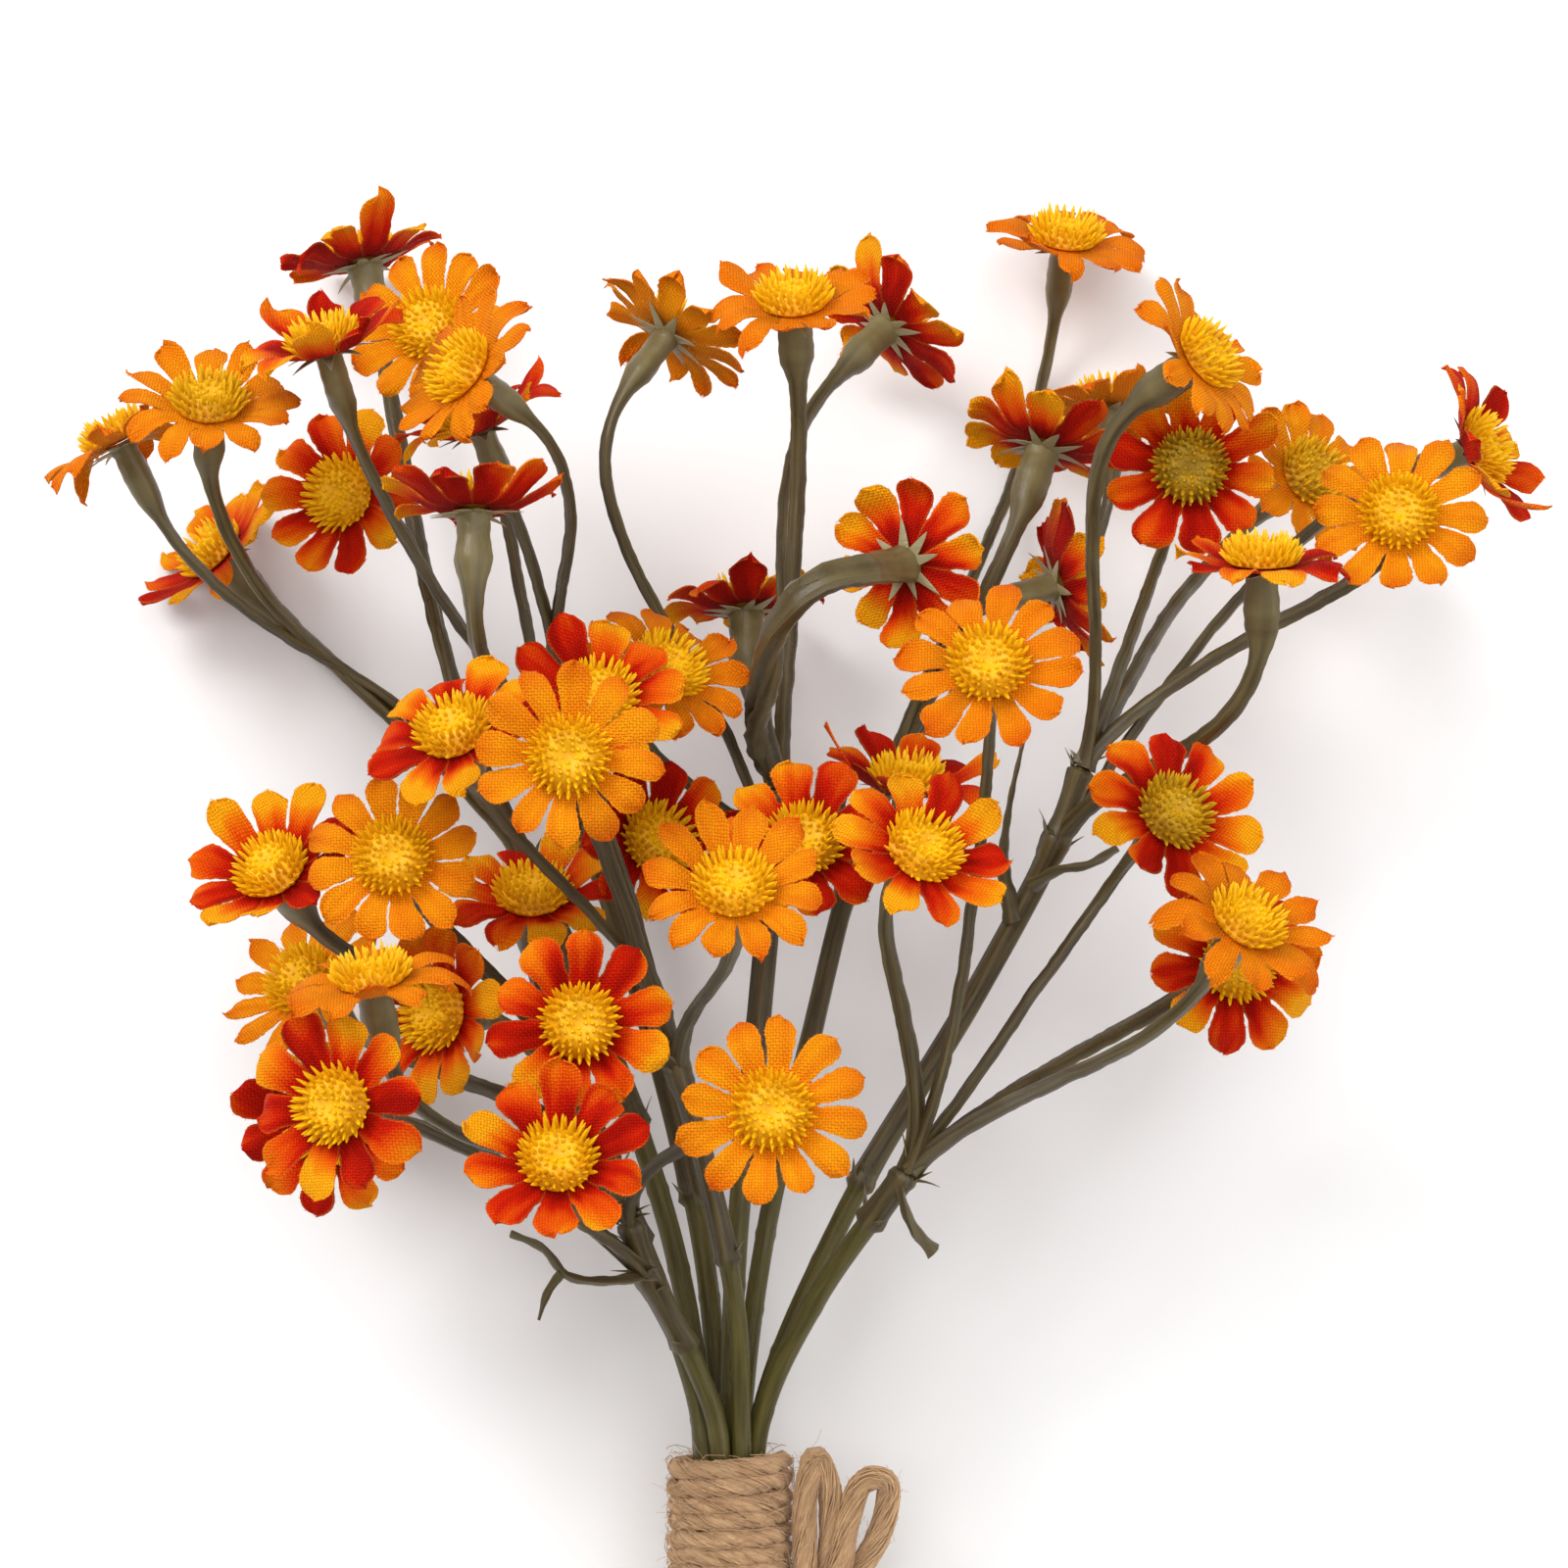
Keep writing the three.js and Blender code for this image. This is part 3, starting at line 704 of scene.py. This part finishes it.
def orange_dye(tree, share, edge, taken, flow):
    """Even orange: deeper towards the tips, brownish green near the centre of some petals."""
    body = mix(tree, span(tree, flow, 0.3, 0.7), (0.93, 0.335, 0.004), (0.84, 0.22, 0.003))
    body = mix(tree, span(tree, taken[2], 0.2, 1.0, 0, 0.75), body, (0.78, 0.165, 0.002))
    tips = span(tree, share, 0.74, 1.0)
    tips = math_node(tree, "MULTIPLY", tips, span(tree, taken[0], 0.0, 1.0, 0.2, 1.0))
    body = mix(tree, tips, body, (0.70, 0.115, 0.002))
    stain = span(tree, share, 0.74, 0.42)
    stain = math_node(tree, "MULTIPLY", stain, span(tree, taken[0], 0.35, 0.95, 0.0, 0.6))
    return mix(tree, math_node(tree, "MULTIPLY", stain, taken[2]), body, (0.27, 0.125, 0.003))


def red_dye(tree, share, edge, taken, flow):
    """Deep red at the base that runs out to yellow at the tip, further in some petals and to one side."""
    reach = math_node(tree, "MULTIPLY", span(tree, share, 0.35, 1.0), span(tree, taken[0], 0, 1, 0.15, 1.5))
    sideways = math_node(tree, "MULTIPLY", math_node(tree, "MULTIPLY", edge, taken[1]), 0.13)
    reach = math_node(tree, "ADD", reach, sideways)
    reach = math_node(tree, "ADD", reach, span(tree, flow, 0.3, 0.7, -0.18, 0.18))
    reach = math_node(tree, "ADD", reach, span(tree, taken[2], 0, 1, -0.16, 0.1))
    ramp = add_node(tree, "ShaderNodeValToRGB", {"Fac": reach})
    stops = ramp.color_ramp.elements
    stops[0].position, stops[0].color = 0.05, (0.34, 0.004, 0.0004, 1)
    stops[1].position, stops[1].color = 1.0, (0.92, 0.37, 0.005, 1)
    middle = (
        (0.29, (0.58, 0.013, 0.0005, 1)),
        (0.52, (0.78, 0.085, 0.001, 1)),
        (0.76, (0.87, 0.20, 0.002, 1)),
    )
    for position, colour in middle:
        stops.new(position).color = colour
    return ramp.outputs["Color"]


CLOTHS = {
    "petals_orange": cloth("orange_cloth", orange_dye),
    "petals_red": cloth("red_cloth", red_dye),
}
SLOT_OF = {entry["node"]: entry["material_slot"] for entry in frame["record"]["subparts"]}

for name, (hub, face, radius) in FLOWERS.items():
    dye = SLOT_OF[name]
    ring = Shape("plan", "local", "dye")
    add_ring(ring, CUTS[dye], radius, hub, face)
    ring.piece(name.replace("daisy", "petals"), CLOTHS[dye], dye, [name], 60)

# ---------- moulded centres ----------
# Each centre is a soft yellow plastic button pressed through the petals onto the cup: a thin flange, a low
# dome with a dimple, and rings of tapered spikes that lean outwards at the rim. A few are tinted olive.

# radius and height, from the flange up to the bottom of the dimple
BUTTON_PROFILE = [
    (4.7, 0.0), (4.85, 0.25), (4.7, 0.5), (4.3, 0.8), (3.9, 1.5), (3.3, 2.1),
    (2.6, 2.4), (1.9, 2.35), (1.2, 1.95), (0.6, 1.6), (0.0, 1.5),
]
# rings of spikes: radius, height of their feet, how many, how far they lean out, length
SPIKE_RINGS = [
    (4.45, 0.5, 26, 50, 1.9), (4.15, 1.15, 25, 38, 2.1), (3.6, 1.8, 22, 27, 2.1), (3.0, 2.2, 18, 18, 1.8),
    (2.35, 2.4, 13, 8, 1.2), (1.7, 2.3, 9, 0, 0.8), (1.0, 1.9, 5, -6, 0.5),
]
# how olive the tinted centres are; the others are close to 0
OLIVE_CENTRES = {"daisy_a_low_2": 0.75, "daisy_b_top_2": 1.0, "daisy_b_top_3": 0.5, "daisy_e_low_1": 0.35}


def add_centre(shape, hub, face, olive):
    sides, ups = side_axes(np.array([hub, hub + face]))
    axes = np.array([sides[0], ups[0], face])
    base = hub + face * 0.75
    turns = np.arange(36) / 36 * 2 * math.pi
    rings = []
    for radius, height in BUTTON_PROFILE[:-1]:
        wave = 1 + 0.012 * np.sin(7 * turns + height)
        rings.append(np.column_stack([radius * wave * np.cos(turns), radius * wave * np.sin(turns),
                                      np.full(36, height)]))
    corners = np.vstack(rings) @ axes + base
    # how high each ring sits on the button; the material paints shade low down
    depth = np.repeat([height / 2.5 * 0.6 for _, height in BUTTON_PROFILE[:-1]], 36)
    shape.add(corners, tube_faces(len(rings), 36), depth=depth, olive=olive, grain=corners)
    for radius, foot, count, lean, length in SPIKE_RINGS:
        for k in range(count):
            angle = 2 * math.pi * (k + 0.5 * (count % 2) + rng.uniform(-0.16, 0.16)) / count
            tilt = math.radians(lean + rng.normal(0, 5))
            radial = np.array([math.cos(angle), math.sin(angle), 0])
            way = radial * math.sin(tilt) + np.array([0, 0, math.cos(tilt)])
            bend = np.array([0, 0, 1]) * rng.uniform(0.0, 0.35) * length
            reach = length * rng.uniform(0.82, 1.1)
            root = radial * (radius + rng.normal(0, 0.08)) + np.array([0, 0, foot - 0.25])
            steps = np.array([0, 0.45, 0.8, 1.0])[:, None]
            line = root + way * reach * steps + bend * steps**2
            thick = np.array([0.36, 0.30, 0.19, 0.04]) * rng.uniform(0.88, 1.12)
            corners = bar(line, thick, 5, 0.0, 0.1, rng.uniform(0, 3)) @ axes + base
            # from each spike's root up to its point; the material paints shade at the roots
            depth = np.repeat([0.1, 0.55, 0.85, 1.0], 5)
            shape.add(corners, tube_faces(4, 5), depth=depth, olive=olive, grain=corners)


def centre_plastic():
    """Soft yellow plastic, with painted shade: darker amber low on the button and deep between the spikes,
    yellow and bright up at the points.
    """
    material, tree, shader = new_material("centre_plastic")
    grain = attribute(tree, "grain", "Vector")
    cloud = noise(tree, grain, 0.5, 2)
    # painted shade: darker amber low on the button and at the spike roots, plain yellow up at the points; the
    # olive tint darkens the same way
    deep = mix(tree, span(tree, cloud, 0.3, 0.7), (0.66, 0.27, 0.002), (0.80, 0.38, 0.003))
    yellow = mix(tree, attribute(tree, "depth"), deep, (0.93, 0.56, 0.006))
    olive = mix(tree, attribute(tree, "depth"), (0.20, 0.105, 0.006), (0.54, 0.345, 0.018))
    share = math_node(tree, "MULTIPLY", attribute(tree, "olive"), span(tree, cloud, 0.25, 0.6, 0.4, 1.0))
    tree.links.new(mix(tree, share, yellow, olive), shader.inputs["Base Color"])
    tree.links.new(span(tree, cloud, 0.3, 0.7, 0.38, 0.52), shader.inputs["Roughness"])
    shader.inputs["Specular IOR Level"].default_value = 0.2
    shader.inputs["Subsurface Weight"].default_value = 0.15
    shader.inputs["Subsurface Radius"].default_value = (1.0, 0.5, 0.1)
    shader.inputs["Subsurface Scale"].default_value = 0.0008
    bumped(tree, shader, noise(tree, grain, 2.2, 3), 0.25, 0.0002)
    return material


CENTRE_PLASTIC = centre_plastic()

for name, (hub, face, _) in FLOWERS.items():
    centre = Shape("depth", "olive", "grain")
    add_centre(centre, hub, face, OLIVE_CENTRES.get(name, rng.uniform(0, 0.06)))
    centre.piece(name.replace("daisy", "centre"), CENTRE_PLASTIC, "flower_centre", [name], 70)

# ---------- jute winding ----------
# The handle is wound with one length of jute: three hairy plies laid up into a cord, wound turn against turn.
# The winding starts and ends under itself, so that only its turns show.

TWINE_D = 2.6
WIND_R = SLOT_RING_R + 1.5 + 0.35 + TWINE_D / 2
WIND_TURNS = 16
WIND_LAY = 9.5  # the length in which the plies go once round each other
WIND_FIBRES = 2400
WIND_HAIRS = 1700
CROSSING_FIBRES = 420
PLY_R = 0.84
PLY_OFFSET = 0.5
JUTE_PALE = (0.80, 0.52, 0.29)
JUTE_DARK = (0.44, 0.25, 0.12)


def on_twine(frame_at, middle, angle, radius):
    """Points at an angle and a distance round a line."""
    across, over = frame_at
    return middle + (np.cos(angle) * radius)[:, None] * across + (np.sin(angle) * radius)[:, None] * over


def add_twine(shape, line, lay, stout, fibres, hairs):
    """Three plies twisted once in every lay, loose fibres lying along them, and hairs that stand off them."""
    run = travelled(line)
    across, over = side_axes(line)
    for ply in range(3):
        turn = 2 * math.pi * (run / lay + ply / 3) + 0.4 * np.sin(run / 9 + ply)
        offset = stout * PLY_OFFSET * (1 + 0.12 * np.sin(run / 5.3 + 2 * ply))
        middle = on_twine((across, over), line, turn, offset)
        radii = stout * PLY_R * (1 + 0.13 * np.sin(run / 3.1 + 4 * ply) + rng.normal(0, 0.03, len(run)))
        corners = bar(middle, radii, 10, 0.05, 0.0, 0.0, run[-1] / 2.5)
        corners = corners + rng.normal(0, 0.03, corners.shape)
        # how far out from the cord's middle each corner lies, which sets the shade painted into the grooves
        deep = np.linalg.norm(corners - np.repeat(line, 10, 0), axis=1) / (stout * (PLY_OFFSET + PLY_R))
        shape.add(corners, tube_faces(len(line), 10), deep=deep, strand=round_grain(run, 10, 4.6))
    step = run[1]
    for _ in range(fibres):
        count = int(min(rng.uniform(5, 18), run[-1] * 0.8) / step)
        i = rng.integers(0, len(line) - count)
        some = np.linspace(i, i + count - 1, 9).astype(int)
        t = np.linspace(0, 1, 9)
        angle = rng.uniform(0, 6.3) + 2 * math.pi * run[some] / lay * rng.uniform(0.4, 1.1)
        angle = angle + rng.normal(0, 0.25) * t
        lift = stout * (PLY_OFFSET + PLY_R) * rng.uniform(0.90, 1.0) + 0.10 * np.sin(t * math.pi)
        path = on_twine((across[some], over[some]), line[some], angle, lift)
        corners = bar(path, np.full(9, rng.uniform(0.06, 0.14)) * np.clip(4 * t * (1 - t) + 0.35, 0, 1), 4)
        strand = round_grain(run[some], 4, 0.3)
        shape.add(corners, tube_faces(9, 4), deep=1.0, strand=strand)
    for _ in range(hairs):
        i = rng.integers(2, len(line) - 2)
        angle = rng.uniform(0, 2 * math.pi)
        outward = across[i] * math.cos(angle) + over[i] * math.sin(angle)
        forward = unit(line[i + 1] - line[i - 1]) * rng.choice([-1, 1])
        curl = np.cross(forward, outward) * rng.normal(0, 0.9)
        length = rng.uniform(1.0, 4.2)
        t = np.linspace(0, 1, 6)[:, None]
        path = (line[i] + outward * stout * 1.2 + forward * length * t
                + (outward * rng.uniform(0.0, 0.45) + curl * 0.5) * length * t**2)
        corners = bar(path + rng.normal(0, 0.04, path.shape), np.full(6, 0.03), 3)
        shape.add(corners, tube_faces(6, 3), deep=1.1, strand=round_grain(np.full(6, run[i]), 3, 0.1))


def jute():
    """Raw jute: long pale and dark fibres along each ply, with painted shade in the grooves between plies."""
    material, tree, shader = new_material("jute")
    strand = attribute(tree, "strand", "Vector")
    fibres = noise(tree, stretched(tree, strand, (0.4, 7, 1)), 1.3, 5, 0.65)
    blotch = noise(tree, stretched(tree, strand, (0.25, 0.6, 1)), 0.6, 2)
    base = mix(tree, span(tree, fibres, 0.32, 0.68), JUTE_DARK, JUTE_PALE)
    base = mix(tree, span(tree, blotch, 0.4, 0.75, 0, 0.4), base, (0.60, 0.36, 0.17))
    # painted shade: darker where a ply's skin lies close to the cord's middle, in the grooves between the
    # plies
    groove = span(tree, attribute(tree, "deep"), 0.4, 0.8, 0.7, 0.0)
    base = mix(tree, groove, base, (0.22, 0.11, 0.045))
    tree.links.new(base, shader.inputs["Base Color"])
    shader.inputs["Roughness"].default_value = 0.9
    shader.inputs["Specular IOR Level"].default_value = 0.2
    shader.inputs["Sheen Weight"].default_value = 0.15
    bumped(tree, shader, fibres, 0.8, 0.00035)
    return material


JUTE = jute()

wound = np.linspace(0, WIND_TURNS * 2 * math.pi, 1100)
drop = wound / (2 * math.pi) * (WIND_TURNS - 1) / WIND_TURNS + 0.5
helix = np.column_stack([WIND_R * np.cos(wound), -TWINE_D * drop, WIND_R * np.sin(wound)])
helix[:, 1] += 0.16 * np.sin(wound * 0.37) + 0.1 * np.sin(wound * 1.9)
winding_shape = Shape("deep", "strand")
add_twine(winding_shape, helix, WIND_LAY, 1.0, WIND_FIBRES, WIND_HAIRS)
for _ in range(CROSSING_FIBRES):
    # fibres that have worked loose and lie across the turns
    t = np.linspace(0, 1, 8)
    turned = rng.uniform(0, 6.3) + t * rng.uniform(0.2, 1.3) * rng.choice([-1, 1])
    height = rng.uniform(-TWINE_D * (WIND_TURNS - 1), -0.6) + t * rng.normal(0, 3.0)
    height = height + rng.normal(0, 0.4) * np.sin(5 * t)
    out = WIND_R + TWINE_D / 2 + 0.08 + rng.uniform(0, 0.5) * np.sin(math.pi * t)
    height = height.clip(-TWINE_D * WIND_TURNS + 0.5, 0.3)
    stray = np.column_stack([out * np.cos(turned), height, out * np.sin(turned)])
    corners = bar(stray, np.full(8, rng.uniform(0.03, 0.07)), 3)
    winding_shape.add(corners, tube_faces(8, 3), deep=1.1, strand=round_grain(travelled(stray), 3, 0.2))
winding_shape.piece("twine_turns", JUTE, "jute_twine", ["twine_winding"], 60)

# ---------- jute bow ----------
# The bow is the same jute, knotted on the handle's right-hand side: a round knot, two loops standing up beside
# the winding and two loose ends. It is held by its knot, and its short stiff loops and ends keep their shape.

KNOT = np.array([WIND_R + TWINE_D / 2 + 2.4, -24, 1.5])
BOW_LAY = 26
KNOT_LAY = 14
KNOT_TURNS = 2.2
BOW_SQUEEZE = [0.9, 1, 1]  # the tied bow is a little narrower than its routes
BOW_ROUTES = {
    "inner_loop": [[0, 0, 0], [-0.6, 8, 1.6], [-0.4, 19, 2], [1.2, 23.4, 1.8], [3.2, 19, 0.8], [3, 8, -0.2],
                   [0.6, 0.5, -0.6]],
    "outer_loop": [[0.4, 0, 0], [4.6, 7, 1], [6, 14, 1.6], [8.6, 20, 1.2], [12, 20, 0.6], [12, 15, -0.2],
                   [8.8, 8.4, -1], [0.8, 0, -0.6]],
    "inner_end": [[0, 0, 0], [0.8, -7, -1.6], [1.8, -14, -4.6], [3, -21, -6.6]],
    "outer_end": [[0.4, 0, 0], [5.4, -4.6, -1.6], [9.6, -9.4, -5], [13, -14.4, -8.4], [16.4, -19, -8.8]],
}

bow_shape = Shape("deep", "strand")
for route in BOW_ROUTES.values():
    strand_line = smooth_curve(KNOT + np.array(route) * BOW_SQUEEZE, 0.6)
    add_twine(bow_shape, strand_line, BOW_LAY, 1.22, 260, 130)
wrap_turns = np.linspace(0, KNOT_TURNS * 2 * math.pi, 90)
wrap_rise = 0.8 * (wrap_turns / wrap_turns[-1] - 0.5) * 3
knot_line = KNOT + np.column_stack([1.7 * np.cos(wrap_turns), wrap_rise, 1.5 * np.sin(wrap_turns)])
add_twine(bow_shape, knot_line, KNOT_LAY, 1.0, 90, 90)
bow_shape.piece("bow", JUTE, "jute_twine", ["twine_bow"], 60)

# ---------- surface and light ----------
# A plain white table that the bunch lies on, and broad soft lights round it: one overhead, one from the upper
# left, and one low fill from the right. None of it is part of the bunch.

TABLE_HALF = 3.0  # metres, as the lights are
TABLE_WHITE = (0.9, 0.9, 0.9, 1)
WORLD_STRENGTH = 0.45
AIM_HEIGHT = 0.05

table_corners = [(x * TABLE_HALF, y * TABLE_HALF, 0) for x, y in ((-1, -1), (1, -1), (1, 1), (-1, 1))]
floor_mesh = bpy.data.meshes.new("table")
floor_mesh.from_pydata(table_corners, [], [(0, 1, 2, 3)])
table, tree, shader = new_material("white_table")
shader.inputs["Base Color"].default_value = TABLE_WHITE
shader.inputs["Roughness"].default_value = 0.8
floor_mesh.materials.append(table)
floor = bpy.data.objects.new("table", floor_mesh)
bpy.context.scene.collection.objects.link(floor)

# place, width and power
LIGHTS = {
    "overhead": ((0.1, 0.2, 1.6), 1.6, 17),
    "upper_left": ((-0.9, 0.8, 1.2), 0.7, 17),
    "right_fill": ((1.2, -0.3, 0.8), 0.8, 5),
}
for name, (place, size, power) in LIGHTS.items():
    light = bpy.data.objects.new(name, bpy.data.lights.new(name, "AREA"))
    light.data.size = size
    light.data.energy = power
    bpy.context.scene.collection.objects.link(light)
    aim = -np.array(place) + np.array([0, 0, AIM_HEIGHT])
    sides, ups = side_axes(np.array([place, np.add(place, aim)]))
    facing = Matrix(np.column_stack([sides[0], ups[0], -unit(aim)]).tolist()).to_4x4()
    light.matrix_world = Matrix.Translation(place) @ facing

world = bpy.data.worlds.new("studio")
world.use_nodes = True
world.node_tree.nodes["Background"].inputs["Color"].default_value = (1, 1, 1, 1)
world.node_tree.nodes["Background"].inputs["Strength"].default_value = WORLD_STRENGTH
bpy.context.scene.world = world
bpy.context.scene.view_settings.view_transform = "Standard"
